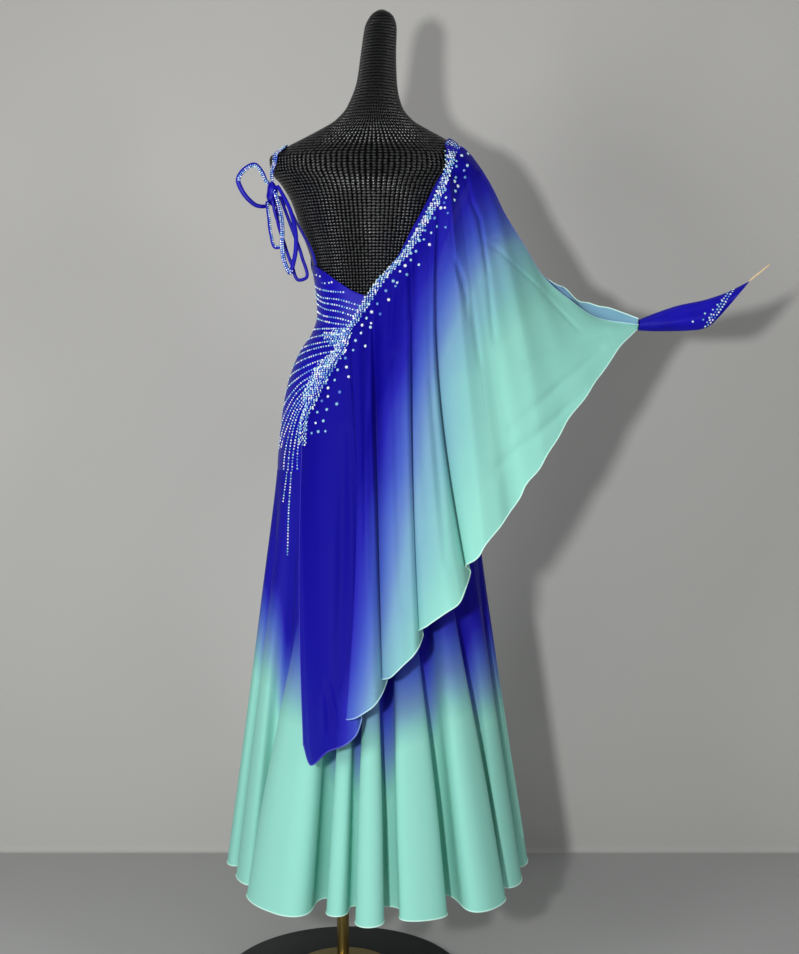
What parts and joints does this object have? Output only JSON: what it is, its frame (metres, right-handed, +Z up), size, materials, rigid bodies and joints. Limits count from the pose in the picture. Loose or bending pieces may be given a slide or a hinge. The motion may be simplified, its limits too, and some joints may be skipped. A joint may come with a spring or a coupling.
{
  "type": "ballroom dance dress on a limbless dress form",
  "caption": "Full-length ballroom dress with a fitted low-backed bodice, flared chiffon skirt and draped float reaching to a pointed gauntlet, on a limbless dress form with pole and base",
  "frame": {"origin": "centre of the round base's underside, on the floor", "axes": "+Z up; the back of the dress faces -Y; the wearer's right arm, with the float and the gauntlet, reaches along +X"},
  "size_m": [1.0082, 0.6024, 1.816],
  "materials": {
    "crepe": "royal blue stretch crepe, set with small pale stones",
    "chiffon": "sheer chiffon dyed from royal blue through pale blue to mint",
    "lining": "light satin dyed to match the chiffon",
    "elastic": "thin covered elastic",
    "form_cover": "charcoal knit cover with an embossed mesh pattern",
    "pole_brass": "antique brass, satin",
    "base_enamel": "near-black enamel, satin"
  },
  "bodies": {
    "root": {"form_base": "base_enamel", "form_boss": "pole_brass", "form_pole": "pole_brass", "form_torso": "form_cover", "bodice_back": "crepe", "bodice_front": "crepe", "skirt_front_right": "chiffon", "skirt_front_left": "chiffon", "skirt_side_left": "chiffon", "skirt_back_centre": "chiffon", "skirt_side_right": "chiffon", "skirt_lining": "lining", "float_back": "chiffon", "float_front": "chiffon", "gauntlet": "crepe", "finger_loop": "elastic", "strap_shoulder": "crepe", "strap_side": "crepe", "bow_knot": "crepe", "bow_loop_side": "crepe", "bow_loop_outer": "crepe", "bow_loop_middle": "crepe", "bow_loop_inner": "crepe"}
  },
  "joints": []
}
